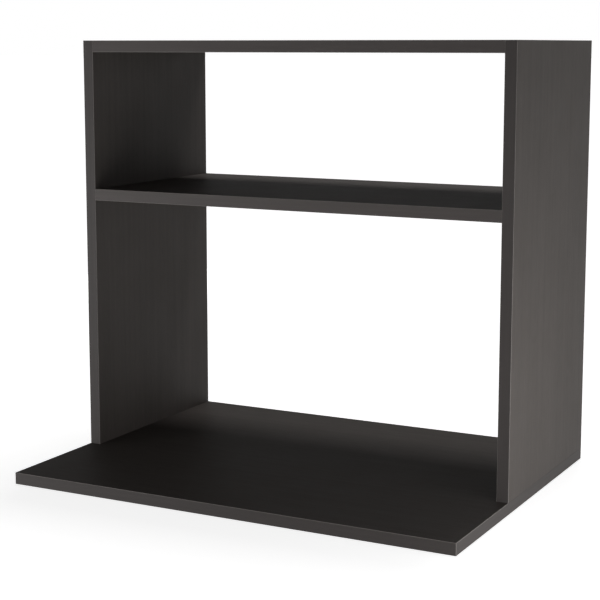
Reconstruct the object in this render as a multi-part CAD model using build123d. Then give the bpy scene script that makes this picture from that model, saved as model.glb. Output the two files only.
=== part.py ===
from build123d import *
import math
import os

# Microwave niche shelf: an open-backed, flat-pack niche that stands on a worktop. A deep base board is
# the floor of the niche. Two side panels rise from the back part of the base and carry a middle shelf and
# a top panel between them, held by cam locks and dowels. The base is screwed on from below.
# Millimetres. +X is the user's right, +Y goes back and +Z up. The origin is the middle of the underside.

# The assembled niche
overall_width = 600.0
overall_height = 558.0
base_depth = 450.0
carcass_depth = 285.0
niche_height = 333.0
board_thickness = 15.0

# Edge bands, glued on every edge that faces front, up or sideways
band_thickness = 1.0
band_arris_radius = 0.5
arris_limit_share = 0.9

# Rows of fixings, measured from the finished front and back of the side panels
dowel_inset = 46.5
screw_inset = 62.5

# Cam locks: drums in pockets in the undersides of the top panel and the shelf, halfway back
cam_inset = 34.0
cam_diameter = 14.8
cam_height = 12.0
cam_face_recess = 0.2
cam_cup_diameter = 10.4
cam_floor = 3.7
cam_throw = 0.6
cam_slot_height = 4.4
cam_entry_angle = 150.0
cam_entry_half_arc = 30.0
cam_slot_overswing = 45.0
cam_cross_length = 6.6
cam_cross_width = 1.3
cam_cross_depth = 2.2
cam_pocket_clearance = 0.1
cam_pocket_end_gap = 0.3

# Cam bolts: screwed into the side panels up to the shoulder, with a head inside the drum
bolt_thread_diameter = 6.2
bolt_thread_length = 11.0
bolt_shank_diameter = 7.4
bolt_neck_diameter = 3.6
bolt_head_diameter = 6.2
bolt_head_length = 3.4
bolt_head_bevel = 1.0
bolt_bore_diameter = 8.0
bolt_thread_clearance = 0.05
bolt_tip_gap = 0.5
bolt_head_clearance = 0.1
bolt_shank_gap = 0.3

# Fluted dowels
dowel_diameter = 8.0
dowel_length = 30.0
dowel_face_depth = 10.0
dowel_flutes = 8
dowel_flute_depth = 0.45
dowel_clearance = 0.05
dowel_end_gap = 0.5

# Confirmat screws, driven up through the base into the side panels
screw_length = 50.0
screw_diameter = 7.0
screw_head_diameter = 9.8
screw_head_height = 3.0
screw_socket_width = 4.6
screw_socket_sides = 6
screw_socket_depth = 3.0
screw_head_sink = 0.5
screw_clearance = 0.1
screw_tip_gap = 1.0

# Every cut starts this far outside the face it enters
cut_overrun = 1.0

# Faces that the pieces share
half_width = overall_width / 2
inner_x = half_width - board_thickness
front_y = -base_depth / 2
rear_y = base_depth / 2
carcass_front_y = rear_y - carcass_depth
deck_z = board_thickness
shelf_underside_z = deck_z + niche_height
top_underside_z = overall_height - board_thickness

# Rows of fixings along the depth, and the sides as signs
cam_row = (carcass_front_y + rear_y) / 2
dowel_rows = (carcass_front_y + dowel_inset, rear_y - dowel_inset)
screw_rows = (carcass_front_y + screw_inset, rear_y - screw_inset)
sides = {"left": -1, "right": 1}

# Boards that run between the side panels, by the height of their underside
cross_boards = {"shelf": shelf_underside_z, "top": top_underside_z}

UP = (0, 0, 1)


def block(low, high):
    """A solid with square corners between its low and its high corner."""
    size = [b - a for a, b in zip(low, high)]
    centre = [(a + b) / 2 for a, b in zip(low, high)]
    return Pos(*centre) * Box(*size)


def bore(mouth, into, diameter, depth):
    """The tool for a round hole, from a mouth on a face into the board."""
    start = Vector(*mouth) - Vector(*into) * cut_overrun
    tool = Cylinder(diameter / 2, depth + cut_overrun, align=(Align.CENTER, Align.CENTER, Align.MIN))
    return Plane(origin=start, z_dir=into) * tool


def turned(outline):
    """A turned solid about Z, from its (height, diameter) points."""
    points = [(0, outline[0][0])]
    points += [(diameter / 2, height) for height, diameter in outline]
    points += [(0, outline[-1][0])]
    return revolve(Plane.XZ * make_face(Polyline(*points, close=True)), Axis.Z)


def span_x(side):
    """The low and high X of the side panel on one side."""
    return sorted((side * half_width, side * inner_x))


def side_middle_x(side):
    """The X of the middle of the side panel's thickness."""
    return side * (half_width - board_thickness / 2)


def screw_hole_in_base():
    """The countersunk clearance hole for one screw, about Z, with the underside at zero."""
    slope = (screw_head_diameter - screw_diameter) / screw_head_height
    bottom = -cut_overrun
    neck = screw_head_sink + screw_head_height
    hole = screw_diameter + 2 * screw_clearance
    return turned(
        [
            (bottom, hole + slope * (neck - bottom)),
            (neck, hole),
            (board_thickness + cut_overrun, hole),
        ]
    )


def base_panel():
    """The base board, countersunk and bored for the screws from below."""
    low = (-half_width + band_thickness, front_y + band_thickness, 0)
    high = (half_width - band_thickness, rear_y, board_thickness)
    panel = block(low, high)
    for side in sides.values():
        for y in screw_rows:
            panel -= Pos(side_middle_x(side), y, 0) * screw_hole_in_base()
    return panel


def side_panel(side):
    """An upright: bored on its inner face for the shelf and the top, and in its foot for the screws."""
    low_x, high_x = span_x(side)
    low = (low_x, carcass_front_y + band_thickness, deck_z)
    high = (high_x, rear_y, overall_height - band_thickness)
    panel = block(low, high)
    outward = (side, 0, 0)
    face_x = side * inner_x
    bolt_hole = bolt_thread_diameter + 2 * bolt_thread_clearance
    dowel_hole = dowel_diameter + 2 * dowel_clearance
    for underside_z in cross_boards.values():
        joint_z = underside_z + board_thickness / 2
        depth = bolt_thread_length + bolt_tip_gap
        panel -= bore((face_x, cam_row, joint_z), outward, bolt_hole, depth)
        for y in dowel_rows:
            depth = dowel_face_depth + dowel_end_gap
            panel -= bore((face_x, y, joint_z), outward, dowel_hole, depth)
    screw_hole = screw_diameter + 2 * screw_clearance
    for y in screw_rows:
        depth = screw_head_sink + screw_length - board_thickness + screw_tip_gap
        panel -= bore((side_middle_x(side), y, deck_z), UP, screw_hole, depth)
    return panel


def cross_board(underside_z):
    """The shelf or the top panel: bored in its ends, with cam pockets in its underside."""
    low = (-inner_x, carcass_front_y + band_thickness, underside_z)
    high = (inner_x, rear_y, underside_z + board_thickness)
    panel = block(low, high)
    joint_z = underside_z + board_thickness / 2
    pocket = cam_diameter + 2 * cam_pocket_clearance
    pocket_depth = cam_face_recess + cam_height + cam_pocket_end_gap
    dowel_hole = dowel_diameter + 2 * dowel_clearance
    for side in sides.values():
        end_x = side * inner_x
        inward = (-side, 0, 0)
        panel -= bore((end_x, cam_row, joint_z), inward, bolt_bore_diameter, cam_inset)
        panel -= bore((end_x - side * cam_inset, cam_row, underside_z), UP, pocket, pocket_depth)
        for y in dowel_rows:
            depth = dowel_length - dowel_face_depth + dowel_end_gap
            panel -= bore((end_x, y, joint_z), inward, dowel_hole, depth)
    return panel


def band(low, high, outward, rounded_ends=()):
    """An edge band, its long outer arrises rounded over, and the ends that are named too."""
    strip = block(low, high)
    face = strip.faces().sort_by(Axis((0, 0, 0), outward))[-1]
    arrises = list(face.edges().sort_by(SortBy.LENGTH)[-2:])
    for end in rounded_ends:
        arrises.append(face.edges().sort_by(Axis((0, 0, 0), end))[-1])
    return fillet(arrises, min(band_arris_radius, band_thickness * arris_limit_share))


def base_front_band():
    """Covers the base's front edge and the front ends of its side bands."""
    low = (-half_width, front_y, 0)
    high = (half_width, front_y + band_thickness, board_thickness)
    return band(low, high, (0, -1, 0), [(-1, 0, 0), (1, 0, 0)])


def base_side_band(side):
    """Covers one end of the base, from the front band to the back."""
    low_x, high_x = sorted((side * half_width, side * (half_width - band_thickness)))
    low = (low_x, front_y + band_thickness, 0)
    high = (high_x, rear_y, board_thickness)
    return band(low, high, (side, 0, 0))


def side_front_band(side):
    """Covers the front edge of a side panel, from the base to the top."""
    low_x, high_x = span_x(side)
    low = (low_x, carcass_front_y, deck_z)
    high = (high_x, carcass_front_y + band_thickness, overall_height)
    return band(low, high, (0, -1, 0), [UP])


def side_top_band(side):
    """Covers the top edge of a side panel, from the front band to the back."""
    low_x, high_x = span_x(side)
    low = (low_x, carcass_front_y + band_thickness, overall_height - band_thickness)
    high = (high_x, rear_y, overall_height)
    return band(low, high, UP)


def cross_front_band(underside_z):
    """Covers the front edge of the shelf or the top panel, between the side panels."""
    low = (-inner_x, carcass_front_y, underside_z)
    high = (inner_x, carcass_front_y + band_thickness, underside_z + board_thickness)
    return band(low, high, (0, -1, 0))


def cam_wall_at(angle):
    """How far the cup's wall is from the drum's axis, at an angle in degrees from the entry."""
    across = cam_throw * math.sin(math.radians(angle))
    along = cam_throw * math.cos(math.radians(angle))
    return along + math.sqrt((cam_cup_diameter / 2) ** 2 - across**2)


def wall_cut(low, high, start, sweep):
    """The tool for an opening in a cam drum's wall, between two heights, over part of a turn in degrees."""
    outer = cam_diameter / 2 + cut_overrun
    section = Plane.XZ * Pos(outer / 2, (low + high) / 2) * Rectangle(outer, high - low)
    return Rot(0, 0, start) * revolve(section, Axis.Z, revolution_arc=sweep)


def cam():
    """A cam drum about Z, screw face at zero, locked on a bolt that comes in along +X."""
    drum = Cylinder(cam_diameter / 2, cam_height, align=(Align.CENTER, Align.CENTER, Align.MIN))
    axis_height = board_thickness / 2 - cam_face_recess
    over_end = cam_height + cut_overrun

    # The cup that the bolt's head turns in: off centre, so that turning the drum pulls the head in
    cup = Cylinder(cam_cup_diameter / 2, over_end - cam_floor, align=(Align.CENTER, Align.CENTER, Align.MIN))
    drum -= Rot(0, 0, cam_entry_angle) * Pos(cam_throw, 0, cam_floor) * cup

    # The gap that the head goes in by, and the slot along which its neck then travels
    entry_start = cam_entry_angle - cam_entry_half_arc
    drum -= wall_cut(cam_floor, over_end, entry_start, 2 * cam_entry_half_arc)
    slot_low = axis_height - cam_slot_height / 2
    slot_high = axis_height + cam_slot_height / 2
    drum -= wall_cut(slot_low, slot_high, -cam_slot_overswing, entry_start + cam_slot_overswing)

    # The cross recess in the screw face
    for length, width in ((cam_cross_length, cam_cross_width), (cam_cross_width, cam_cross_length)):
        drum -= Box(length, width, 2 * cam_cross_depth)
    return drum


def cam_locks(underside_z):
    """The cam locks of the shelf or the top panel, one at each end."""
    x = inner_x - cam_inset
    z = underside_z + cam_face_recess
    return [Pos(x, cam_row, z) * cam(), Pos(-x, cam_row, z) * Rot(0, 0, 180) * cam()]


def cam_bolt():
    """A cam bolt about Z, its tip at zero."""
    shank_end = bolt_thread_length + cam_inset - cam_diameter / 2 - bolt_shank_gap
    seat = cam_wall_at(cam_entry_angle) - bolt_head_clearance
    head_start = bolt_thread_length + cam_inset - seat
    return turned(
        [
            (0, bolt_thread_diameter),
            (bolt_thread_length, bolt_thread_diameter),
            (bolt_thread_length, bolt_shank_diameter),
            (shank_end, bolt_shank_diameter),
            (shank_end, bolt_neck_diameter),
            (head_start, bolt_neck_diameter),
            (head_start + bolt_head_bevel, bolt_head_diameter),
            (head_start + bolt_head_length, bolt_head_diameter),
        ]
    )


def cam_bolts(underside_z):
    """The bolts that the cam locks of the shelf or the top panel pull on."""
    joint_z = underside_z + board_thickness / 2
    tip_x = inner_x + bolt_thread_length
    ends = [Plane(origin=(s * tip_x, cam_row, joint_z), z_dir=(-s, 0, 0)) for s in sides.values()]
    return [end * cam_bolt() for end in ends]


def dowel():
    """A fluted dowel about Z, one end at zero."""
    crest = dowel_diameter / 2
    root = crest - dowel_flute_depth
    outline = []
    for i in range(dowel_flutes):
        for half, radius in ((0, crest), (1, root)):
            angle = math.tau * (i + half / 2) / dowel_flutes
            outline.append((radius * math.cos(angle), radius * math.sin(angle)))
    return extrude(make_face(Polyline(*outline, close=True)), dowel_length, dir=UP)


def end_dowels(side, underside_z):
    """The dowels at one end of the shelf or the top panel."""
    x = side * (inner_x + dowel_face_depth)
    joint_z = underside_z + board_thickness / 2
    return [Plane(origin=(x, y, joint_z), z_dir=(-side, 0, 0)) * dowel() for y in dowel_rows]


def base_screw():
    """A confirmat screw about Z, the face of its head at zero, its tip up."""
    screw = turned(
        [
            (0, screw_head_diameter),
            (screw_head_height, screw_diameter),
            (screw_length, screw_diameter),
        ]
    )
    socket = RegularPolygon(screw_socket_width / 2, screw_socket_sides)
    return screw - extrude(socket, screw_socket_depth, dir=UP)


def base_screws(side):
    """The screws that hold one side panel on the base."""
    return [Pos(side_middle_x(side), y, screw_head_sink) * base_screw() for y in screw_rows]


def write(node, pieces):
    """Writes a node's STEP file. A list of pieces becomes a group of separate solids."""
    shape = Compound([piece.solid() for piece in pieces]) if isinstance(pieces, list) else pieces
    export_step(shape, os.path.join("parts", node + ".step"))


def main():
    os.makedirs("parts", exist_ok=True)
    write("base_panel", base_panel())
    write("base_front_band", base_front_band())
    write("middle_shelf", cross_board(shelf_underside_z))
    write("top_panel", cross_board(top_underside_z))
    for name, underside_z in cross_boards.items():
        write(f"{name}_front_band", cross_front_band(underside_z))
        write(f"{name}_cam_locks", cam_locks(underside_z))
        write(f"{name}_cam_bolts", cam_bolts(underside_z))
        for hand, side in sides.items():
            write(f"{name}_{hand}_dowels", end_dowels(side, underside_z))
    for hand, side in sides.items():
        write(f"{hand}_side_panel", side_panel(side))
        write(f"{hand}_side_front_band", side_front_band(side))
        write(f"{hand}_side_top_band", side_top_band(side))
        write(f"base_{hand}_band", base_side_band(side))
        write(f"base_{hand}_screws", base_screws(side))


main()
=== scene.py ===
import math
import bpy
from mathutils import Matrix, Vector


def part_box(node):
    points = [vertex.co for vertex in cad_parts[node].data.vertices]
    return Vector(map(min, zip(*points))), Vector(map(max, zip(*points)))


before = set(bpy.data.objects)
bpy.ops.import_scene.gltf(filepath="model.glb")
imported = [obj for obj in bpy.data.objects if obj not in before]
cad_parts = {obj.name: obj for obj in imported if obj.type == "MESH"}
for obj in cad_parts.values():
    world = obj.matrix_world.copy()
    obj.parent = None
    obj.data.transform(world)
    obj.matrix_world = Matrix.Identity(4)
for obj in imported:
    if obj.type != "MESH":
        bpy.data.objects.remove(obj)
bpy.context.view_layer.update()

# The looks of a flat-pack microwave niche: graphite melamine boards with PVC edge bands, raw chipboard
# on the rear edges and in the holes, zinc cam locks, plated bolts and screws, and beech dowels.
# Metres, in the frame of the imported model: +X is the user's right, +Y goes back and +Z up.

MM = 0.001
X, Y, Z = 0, 1, 2

# Colours as linear light
melamine_colour = (0.0640, 0.0550, 0.0500)
band_colour = (0.0625, 0.0550, 0.0525)
# The colour of the bands' rounded arrises: partly paler from wear, and partly a painted highlight
pale_arris_wear_and_highlight_colour = (0.270, 0.250, 0.235)
chip_light = (0.56, 0.40, 0.24)
chip_dark = (0.27, 0.165, 0.085)
# Painted shade in the hollow gaps between the chips of raw chipboard
gap_shade_colour = (0.115, 0.068, 0.036)
zinc_light = (0.56, 0.56, 0.57)
zinc_dark = (0.30, 0.30, 0.31)
plate_light = (0.72, 0.71, 0.68)
plate_dark = (0.52, 0.51, 0.50)
beech_light = (0.66, 0.45, 0.27)
beech_dark = (0.45, 0.27, 0.15)
floor_colour = (0.80, 0.80, 0.80)
white = (1.0, 1.0, 1.0)

# The axis of each board's thickness, and the axis of its grain
board_axes = {
    "base_panel": (Z, X),
    "middle_shelf": (Z, X),
    "top_panel": (Z, X),
    "left_side_panel": (X, Z),
    "right_side_panel": (X, Z),
}
# The axis of each band's grain, and how many times as light as band_colour the band is. These shades are
# painted light: the front bands of the top and the shelf are made lighter and the upright front bands
# darker, for how the light falls on them.
bands = {
    "base_front_band": (X, 0.96),
    "base_left_band": (Y, 0.90),
    "base_right_band": (Y, 0.90),
    "shelf_front_band": (X, 1.16),
    "top_front_band": (X, 1.10),
    "left_side_front_band": (Z, 0.80),
    "right_side_front_band": (Z, 0.80),
    "left_side_top_band": (Y, 0.90),
    "right_side_top_band": (Y, 0.90),
}

# Stretches of a value over which a fade runs. A noise seldom leaves the middle of its range.
unit_span = (0.0, 1.0)
height_span = (0.2, 0.8)
cloud_span = (0.25, 0.75)
patch_span = (0.3, 0.7)

# Where a Mix node has its two values and its result, for each kind of value
mix_sockets = {"FLOAT": (2, 3, 0), "VECTOR": (4, 5, 1), "RGBA": (6, 7, 2)}


class Graph:
    """The nodes of a material or a world, added and joined by short calls.

    A value that a call takes is a number, a colour or the output of another node.
    """

    def __init__(self, owner):
        owner.use_nodes = True
        self.owner = owner
        self.tree = owner.node_tree
        self.tree.nodes.clear()

    def add(self, kind, values=None, **settings):
        node = self.tree.nodes.new(kind)
        for name, value in settings.items():
            setattr(node, name, value)
        for name, value in (values or {}).items():
            self.put(node.inputs[name], value)
        return node

    def put(self, socket, value):
        if isinstance(value, bpy.types.NodeSocket):
            self.tree.links.new(value, socket)
        elif socket.type == "RGBA":
            socket.default_value = (*value, 1.0)
        else:
            socket.default_value = value

    def place(self):
        return self.add("ShaderNodeTexCoord").outputs["Object"]

    def facing(self):
        """The size of each part of the true normal, which tells flat faces from rounded arrises."""
        normal = self.add("ShaderNodeNewGeometry").outputs["True Normal"]
        sizes = self.add("ShaderNodeVectorMath", {0: normal}, operation="ABSOLUTE")
        return self.parts(sizes.outputs[0])

    def parts(self, vector):
        return self.add("ShaderNodeSeparateXYZ", {0: vector}).outputs

    def math(self, operation, a, b=0.0):
        return self.add("ShaderNodeMath", {0: a, 1: b}, operation=operation).outputs[0]

    def times(self, a, b):
        return self.math("MULTIPLY", a, b)

    def weigh(self, a, share_of_a, b, share_of_b):
        """The sum of two values, each times its share."""
        return self.math("ADD", self.times(a, share_of_a), self.times(b, share_of_b))

    def fade(self, value, span, ends=unit_span):
        """A smooth step: the first end up to where the span starts, and the second end past it."""
        values = {
            "Value": value,
            "From Min": span[0],
            "From Max": span[1],
            "To Min": ends[0],
            "To Max": ends[1],
        }
        return self.add("ShaderNodeMapRange", values, interpolation_type="SMOOTHSTEP").outputs["Result"]

    def mix(self, share, a, b, kind="RGBA"):
        """The first value where the share is 0, and the second where it is 1."""
        first, second, result = mix_sockets[kind]
        values = {"Factor": share, first: a, second: b}
        return self.add("ShaderNodeMix", values, data_type=kind).outputs[result]

    def toned(self, colour, tone):
        """A colour, made darker by a tone under 1 and lighter by a tone over 1."""
        values = {0: colour, "Scale": tone}
        return self.add("ShaderNodeVectorMath", values, operation="SCALE").outputs[0]

    def scaled(self, sizes):
        """The place, counted in grains of these sizes along X, Y and Z."""
        scale = tuple(1 / size for size in sizes)
        return self.add("ShaderNodeMapping", {"Vector": self.place(), "Scale": scale}).outputs[0]

    def noise(self, sizes, detail, roughness=0.5):
        values = {"Vector": self.scaled(sizes), "Scale": 1.0, "Detail": detail, "Roughness": roughness}
        return self.add("ShaderNodeTexNoise", values).outputs["Fac"]

    def cells(self, sizes):
        """Cells of these sizes, each of one random colour."""
        values = {"Vector": self.scaled(sizes), "Scale": 1.0}
        return self.add("ShaderNodeTexVoronoi", values).outputs["Color"]

    def bumped(self, height, depth):
        """A normal with bumps of this depth, from a height that goes from 0 to 1."""
        return self.add("ShaderNodeBump", {"Height": height, "Distance": depth}).outputs[0]

    def finish(self, colour, roughness, normal, metallic=0.0, specular=0.5):
        values = {
            "Base Color": colour,
            "Roughness": roughness,
            "Normal": normal,
            "Metallic": metallic,
            "Specular IOR Level": specular,
        }
        shader = self.add("ShaderNodeBsdfPrincipled", values)
        self.add("ShaderNodeOutputMaterial", {"Surface": shader.outputs[0]})
        return self.owner


def material_graph(name):
    return Graph(bpy.data.materials.new(name))


def along(axis, length, width):
    """Grain sizes along X, Y and Z: the length along one axis, and the width along the others."""
    return tuple(length if i == axis else width for i in (X, Y, Z))


def even(size):
    """Grain sizes that are the same along X, Y and Z."""
    return (size, size, size)


def dress(node, material):
    """Gives a CAD node its finish."""
    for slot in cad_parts[node].material_slots:
        slot.material = material


# How strongly boards and bands mirror what is in front of them, where 0.5 is a plain plastic
board_specular = 0.2

# Melamine: the pore lines and the pearl that the press leaves in it, with its streaks, clouds and rubbing
pore_length = 14 * MM
pore_width = 0.7 * MM
pearl_length = 0.9 * MM
pearl_width = 0.6 * MM
pearl_share = 0.45
cloud_size = 90 * MM
streak_length = 320 * MM
streak_width = 7 * MM
rubbed_size = 60 * MM
cloud_tones = (0.975, 1.025)
streak_tones = (0.93, 1.07)
pore_tones = (0.88, 1.10)
rubbed_roughness = (0.615, 0.645)
added_pore_roughness = (0.04, -0.04)
melamine_bump = 0.02 * MM


def pressed_grain(graph, grain):
    """The pore lines and the pearl of melamine, as a height from 0 to 1."""
    lines = graph.noise(along(grain, pore_length, pore_width), detail=2.0)
    pearl = graph.noise(along(grain, pearl_length, pearl_width), detail=1.0)
    return graph.mix(pearl_share, lines, pearl, kind="FLOAT")


def melamine(graph, grain):
    """Colour, roughness and height of graphite melamine."""
    clouds = graph.noise(even(cloud_size), detail=3.0)
    streaks = graph.noise(along(grain, streak_length, streak_width), detail=3.0, roughness=0.6)
    height = pressed_grain(graph, grain)
    tone = graph.fade(clouds, cloud_span, cloud_tones)
    tone = graph.times(tone, graph.fade(streaks, cloud_span, streak_tones))
    tone = graph.times(tone, graph.fade(height, height_span, pore_tones))
    rubbed = graph.noise(even(rubbed_size), detail=4.0, roughness=0.6)
    roughness = graph.fade(rubbed, patch_span, rubbed_roughness)
    roughness = graph.math("ADD", roughness, graph.fade(height, unit_span, added_pore_roughness))
    return graph.toned(melamine_colour, tone), roughness, height


# Raw chipboard: chips lie flat in the board, coarse in its core and fine near its faces, and the core has
# hollow gaps between them, painted dark as shade. The layer shares say where the core ends, from a board's
# middle to its face.
core_chip_width = 3.2 * MM
core_chip_thickness = 0.8 * MM
face_chip_width = 1.0 * MM
face_chip_thickness = 0.35 * MM
layer_shares = (0.45, 0.75)
gap_sizes = (1.1 * MM, 1.1 * MM, 0.9 * MM)
gap_span = (0.44, 0.34)
chip_height = 0.4
raw_height_span = (-1.0, chip_height)
chip_roughness = (0.92, 0.80)
raw_bump = 0.25 * MM


def chipboard(graph, thickness_axis, from_middle, half):
    """Colour, roughness and height of raw chipboard, at a distance from the middle of a board."""
    coarse = graph.cells(along(thickness_axis, core_chip_thickness, core_chip_width))
    fine = graph.cells(along(thickness_axis, face_chip_thickness, face_chip_width))
    near_face = graph.fade(from_middle, tuple(share * half for share in layer_shares))
    chips = graph.parts(graph.mix(near_face, coarse, fine))[X]
    gaps = graph.noise(gap_sizes, detail=3.0, roughness=0.65)
    gap = graph.times(graph.fade(gaps, gap_span), graph.math("SUBTRACT", 1.0, near_face))
    colour = graph.mix(chips, chip_dark, chip_light)
    # The gaps between the chips are painted dark: painted shade in the hollows
    colour = graph.mix(gap, colour, gap_shade_colour)
    height = graph.math("SUBTRACT", graph.times(chips, chip_height), gap)
    roughness = graph.fade(chips, unit_span, chip_roughness)
    return colour, roughness, graph.fade(height, raw_height_span)


# A point has melamine where it lies this close to a board's face, and the normal points this much its way
face_reach = 0.01 * MM
flat_normal = 0.9


def board_material(node):
    """A board: melamine on its two faces, raw chipboard on its other sides and in its holes."""
    thickness_axis, grain = board_axes[node]
    low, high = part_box(node)
    middle = (low[thickness_axis] + high[thickness_axis]) / 2
    half = (high[thickness_axis] - low[thickness_axis]) / 2
    graph = material_graph("melamine_" + node)
    across = graph.parts(graph.place())[thickness_axis]
    from_middle = graph.math("ABSOLUTE", graph.math("SUBTRACT", across, middle))
    on_face = graph.math("GREATER_THAN", from_middle, half - face_reach)
    flat = graph.math("GREATER_THAN", graph.facing()[thickness_axis], flat_normal)
    coated = graph.times(on_face, flat)
    raw_colour, raw_roughness, raw_height = chipboard(graph, thickness_axis, from_middle, half)
    coat_colour, coat_roughness, coat_height = melamine(graph, grain)
    raw_normal = graph.bumped(raw_height, raw_bump)
    coat_normal = graph.bumped(coat_height, melamine_bump)
    colour = graph.mix(coated, raw_colour, coat_colour)
    roughness = graph.mix(coated, raw_roughness, coat_roughness, kind="FLOAT")
    normal = graph.mix(coated, raw_normal, coat_normal, kind="VECTOR")
    return graph.finish(colour, roughness, normal, specular=board_specular)


# Edge bands: fine lines and a pearl, with streaks, and rounded arrises painted paler: partly the whitening
# that the scraper leaves, and partly a painted highlight. An arris shows in the largest part of the normal,
# which is 1 on a flat face and less where the band is rounded.
band_line_length = 60 * MM
band_line_width = 0.35 * MM
band_pearl_size = 0.6 * MM
band_line_share = 0.6
band_pearl_share = 0.4
band_streak_length = 200 * MM
band_streak_width = 5 * MM
band_streak_tones = (0.95, 1.05)
band_height_tones = (0.92, 1.08)
band_roughness = (0.63, 0.57)
band_bump = 0.012 * MM
arris_span = (0.998, 0.94)
# How much of that arris colour, wear and painted highlight, an arris takes
arris_wear_and_highlight = 0.9
# How far up a base band's lower arris reaches, with a little to spare
arris_reach = 0.6 * MM


def open_arris(graph, node):
    """1 where a base band's arris is painted paler with wear and a painted highlight, and 0 along its foot
    and below the side panels.
    """
    place = graph.parts(graph.place())
    above_foot = graph.math("GREATER_THAN", place[Z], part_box(node)[0][Z] + arris_reach)
    carcass_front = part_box("left_side_front_band")[0][Y]
    return graph.times(above_foot, graph.math("LESS_THAN", place[Y], carcass_front))


def band_material(node):
    """A PVC edge band, a little glossier than the boards."""
    grain, shade = bands[node]
    graph = material_graph("edge_" + node)
    lines = graph.noise(along(grain, band_line_length, band_line_width), detail=2.0)
    pearl = graph.noise(even(band_pearl_size), detail=1.0)
    height = graph.weigh(lines, band_line_share, pearl, band_pearl_share)
    streaks = graph.noise(along(grain, band_streak_length, band_streak_width), detail=3.0)
    x, y, z = graph.facing()
    squareness = graph.math("MAXIMUM", graph.math("MAXIMUM", x, y), z)
    wear_and_highlight = graph.fade(squareness, arris_span)
    if node.startswith("base"):
        wear_and_highlight = graph.times(wear_and_highlight, open_arris(graph, node))
    tone = graph.fade(streaks, cloud_span, band_streak_tones)
    tone = graph.times(tone, graph.fade(height, height_span, band_height_tones))
    # Each band's shade is painted light, standing in for how the light falls on that band
    plain = graph.toned(band_colour, graph.times(tone, shade))
    # The arrises are painted paler: partly wear, and partly a painted highlight along the rounded edges
    colour = graph.mix(graph.times(wear_and_highlight, arris_wear_and_highlight), plain, pale_arris_wear_and_highlight_colour)
    roughness = graph.fade(height, height_span, band_roughness)
    return graph.finish(colour, roughness, graph.bumped(height, band_bump), specular=board_specular)


zinc_grain = 0.5 * MM
zinc_patch = 4 * MM
zinc_grain_share = 0.5
zinc_patch_share = 0.5
zinc_roughness = (0.38, 0.55)
zinc_bump = 0.03 * MM


def zinc_material():
    """Die-cast zinc: dull and slightly grainy, with darker and lighter patches."""
    graph = material_graph("die_cast_zinc")
    grains = graph.noise(even(zinc_grain), detail=3.0, roughness=0.6)
    patches = graph.noise(even(zinc_patch), detail=3.0)
    shade = graph.weigh(grains, zinc_grain_share, patches, zinc_patch_share)
    colour = graph.mix(graph.fade(shade, patch_span), zinc_dark, zinc_light)
    roughness = graph.fade(patches, patch_span, zinc_roughness)
    return graph.finish(colour, roughness, graph.bumped(grains, zinc_bump), metallic=1.0)


plate_grain = 0.25 * MM
plate_patch = 3 * MM
plate_roughness = (0.34, 0.22)
plate_bump = 0.01 * MM


def plated_material():
    """Bright zinc plate on steel, with a very fine grain and duller patches."""
    graph = material_graph("zinc_plate")
    grains = graph.noise(even(plate_grain), detail=2.0)
    patches = graph.noise(even(plate_patch), detail=4.0, roughness=0.6)
    colour = graph.mix(graph.fade(patches, patch_span), plate_dark, plate_light)
    roughness = graph.fade(patches, patch_span, plate_roughness)
    return graph.finish(colour, roughness, graph.bumped(grains, plate_bump), metallic=1.0)


beech_grain_length = 18 * MM
beech_grain_width = 0.9 * MM
fleck_length = 1.8 * MM
fleck_width = 0.22 * MM
fleck_span = (0.60, 0.68)
fleck_depths = (0.0, 0.5)
beech_roughness = (0.72, 0.6)
beech_bump = 0.05 * MM


def beech_material():
    """Raw beech along X, with its short dark flecks."""
    graph = material_graph("beech")
    grain = graph.noise(along(X, beech_grain_length, beech_grain_width), detail=3.0, roughness=0.6)
    flecks = graph.noise(along(X, fleck_length, fleck_width), detail=1.0)
    darkening = graph.fade(flecks, fleck_span, fleck_depths)
    tone = graph.math("SUBTRACT", graph.fade(grain, patch_span), darkening)
    colour = graph.mix(tone, beech_dark, beech_light)
    roughness = graph.fade(grain, patch_span, beech_roughness)
    return graph.finish(colour, roughness, graph.bumped(grain, beech_bump))


for node in board_axes:
    dress(node, board_material(node))
for node in bands:
    dress(node, band_material(node))
fixings = {
    "cam_locks": zinc_material(),
    "cam_bolts": plated_material(),
    "screws": plated_material(),
    "dowels": beech_material(),
}
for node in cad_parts:
    for ending, material in fixings.items():
        if node.endswith(ending):
            dress(node, material)

# The studio: a plain pale floor and a white background that only camera, glossy and glass rays see.
# The floor glows more the further off it is, and the background dims as it rises above the horizon: each
# has its first level up to where its span starts, and its second level past it.
floor_reach = 60.0
glow_span = (0.9, 2.6)
glow_levels = (0.77, 1.0)
background_span = (0.12, 0.24)
background_levels = (1.0, 0.05)
fill_light = 0.11


def background_rays(graph):
    """1 for the rays that see the white background: those of the camera, of gloss and of glass."""
    path = graph.add("ShaderNodeLightPath").outputs
    seen = graph.math("MAXIMUM", path["Is Camera Ray"], path["Is Glossy Ray"])
    return graph.math("MAXIMUM", seen, path["Is Transmission Ray"])


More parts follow.
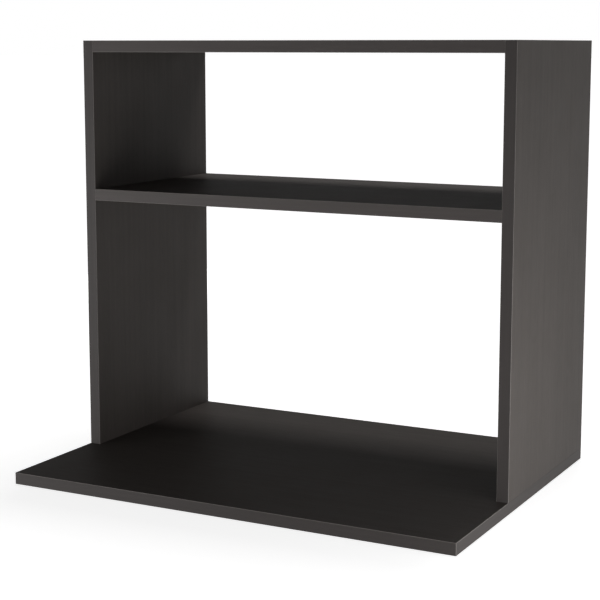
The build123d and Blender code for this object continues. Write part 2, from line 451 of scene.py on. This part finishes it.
def make_floor():
    """A pale floor that takes the shadow near the object and turns white further off."""
    mesh = bpy.data.meshes.new("floor")
    corners = [(-1, -1), (1, -1), (1, 1), (-1, 1)]
    mesh.from_pydata([(x * floor_reach, y * floor_reach, 0.0) for x, y in corners], [], [(0, 1, 2, 3)])
    floor = bpy.data.objects.new("floor", mesh)
    bpy.context.collection.objects.link(floor)
    graph = material_graph("pale_floor")
    distance = graph.add("ShaderNodeVectorMath", {0: graph.place()}, operation="LENGTH").outputs["Value"]
    strength = graph.times(background_rays(graph), graph.fade(distance, glow_span, glow_levels))
    matt = graph.add("ShaderNodeBsdfDiffuse", {"Color": floor_colour})
    glow = graph.add("ShaderNodeEmission", {"Color": white, "Strength": strength})
    both = graph.add("ShaderNodeAddShader", {0: matt.outputs[0], 1: glow.outputs[0]})
    graph.add("ShaderNodeOutputMaterial", {"Surface": both.outputs[0]})
    mesh.materials.append(graph.owner)


def make_world():
    """White near the horizon and dimmer overhead for the rays that see it, and a soft fill for the rest."""
    world = bpy.data.worlds.new("studio")
    bpy.context.scene.world = world
    graph = Graph(world)
    up = graph.parts(graph.add("ShaderNodeTexCoord").outputs["Generated"])[Z]
    seen = graph.fade(up, background_span, background_levels)
    strength = graph.mix(background_rays(graph), fill_light, seen, kind="FLOAT")
    background = graph.add("ShaderNodeBackground", {"Color": white, "Strength": strength})
    graph.add("ShaderNodeOutputWorld", {"Surface": background.outputs[0]})


# A lamp and a camera look straight down until they are turned this many degrees about X, to look level
level = 90.0


def softbox(name, turn, rise, distance, height, size, power):
    """A lamp that faces the object's middle line at a height, from so many degrees about and above it.

    A turn of 0 is straight in front, and 90 is the user's right.
    """
    lamp = bpy.data.lights.new(name, "AREA")
    lamp.shape = "RECTANGLE"
    lamp.size, lamp.size_y = size
    lamp.energy = power
    box = bpy.data.objects.new(name, lamp)
    turned, raised = math.radians(turn), math.radians(rise)
    reach = distance * math.cos(raised)
    lamp_height = height + distance * math.sin(raised)
    box.location = (reach * math.sin(turned), -reach * math.cos(turned), lamp_height)
    box.rotation_euler = (math.radians(level) - raised, 0.0, turned)
    box.visible_camera = False
    bpy.context.collection.objects.link(box)
    return box


make_floor()
make_world()
softbox("front_strip", turn=-45.0, rise=0.0, distance=1.8, height=0.08, size=(0.9, 0.14), power=15.0)
softbox("corner_strip", turn=54.0, rise=0.0, distance=0.8, height=0.08, size=(0.45, 0.14), power=0.75)
softbox("side_strip", turn=80.0, rise=0.0, distance=0.75, height=0.07, size=(0.45, 0.12), power=1.5)
rear_strip = softbox(
    "rear_strip", turn=225.0, rise=0.0, distance=1.8, height=0.13, size=(0.9, 0.25), power=3.0
)
rear_strip.visible_glossy = False
softbox("high_box", turn=180.0, rise=62.0, distance=1.6, height=0.55, size=(0.9, 0.5), power=16.0)

# The camera at the photograph's viewpoint. It looks down a little where the photograph was shifted, so
# that a small shift is enough and the object stays whole from every side.
camera_place = (0.8903, -1.7221, 0.5521)
camera_turn = 27.592
camera_tilt = 8.174
camera_lens = 91.47
camera_shift = -0.06

camera = bpy.data.cameras.new("camera")
camera.lens = camera_lens
camera.shift_y = camera_shift
viewpoint = bpy.data.objects.new("camera", camera)
viewpoint.location = camera_place
viewpoint.rotation_euler = (math.radians(level - camera_tilt), 0.0, math.radians(camera_turn))
bpy.context.collection.objects.link(viewpoint)
bpy.context.scene.camera = viewpoint
bpy.context.scene.view_settings.view_transform = "Standard"
